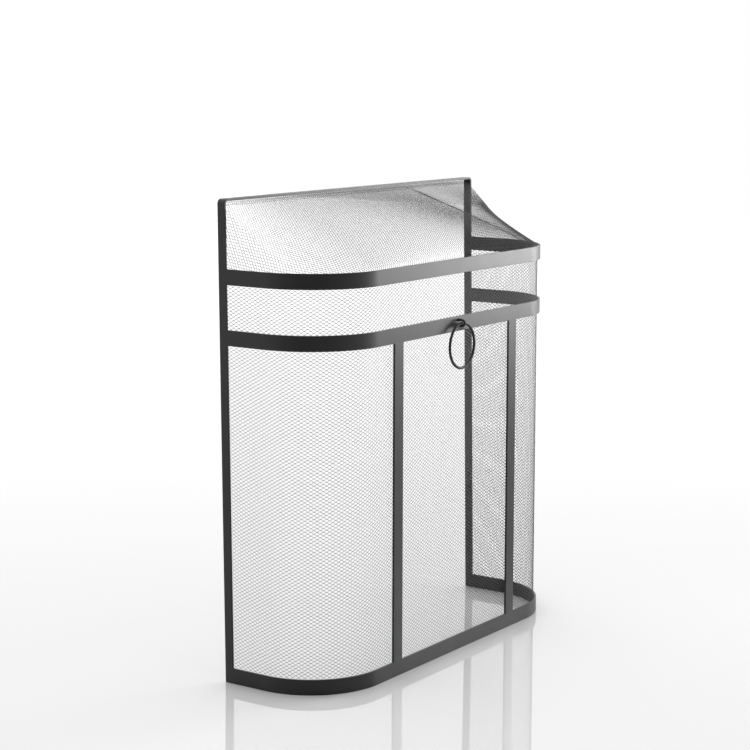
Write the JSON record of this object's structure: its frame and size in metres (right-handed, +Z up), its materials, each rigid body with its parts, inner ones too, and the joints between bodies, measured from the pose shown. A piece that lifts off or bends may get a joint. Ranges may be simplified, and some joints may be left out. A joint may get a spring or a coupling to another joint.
{
  "type": "fireplace screen",
  "caption": "Free-standing wrap-around fireplace screen: flat-bar frame with rounded front corners, fine wire mesh walls and hood, open back, ring handle.",
  "frame": {"origin": "on the hearth, midway between the posts and midway from front to back of the whole object", "axes": "+Z up, the mesh front faces -Y, the open back faces +Y, +X to the right seen from the front"},
  "size_m": [0.58, 0.1864, 0.622],
  "materials": {
    "frame_steel": "satin black powder coat",
    "mesh_steel": "matt black paint",
    "ring_steel": "satin black powder coat"
  },
  "bodies": {
    "screen": {"rear_hoop": "frame_steel", "top_band": "frame_steel", "middle_band": "frame_steel", "bottom_band": "frame_steel", "left_upright": "frame_steel", "right_upright": "frame_steel", "wall_mesh": "mesh_steel", "hood_mesh": "mesh_steel", "ring_eye": "ring_steel"},
    "ring": {"ring_handle": "ring_steel"}
  },
  "joints": [
    {"name": "ring_swing", "type": "hinge", "parent": "screen", "child": "ring", "pos_m": [0, -0.08783, 0.448], "axis": [-1, 0, 0], "range_deg": [-5, 185]}
  ]
}
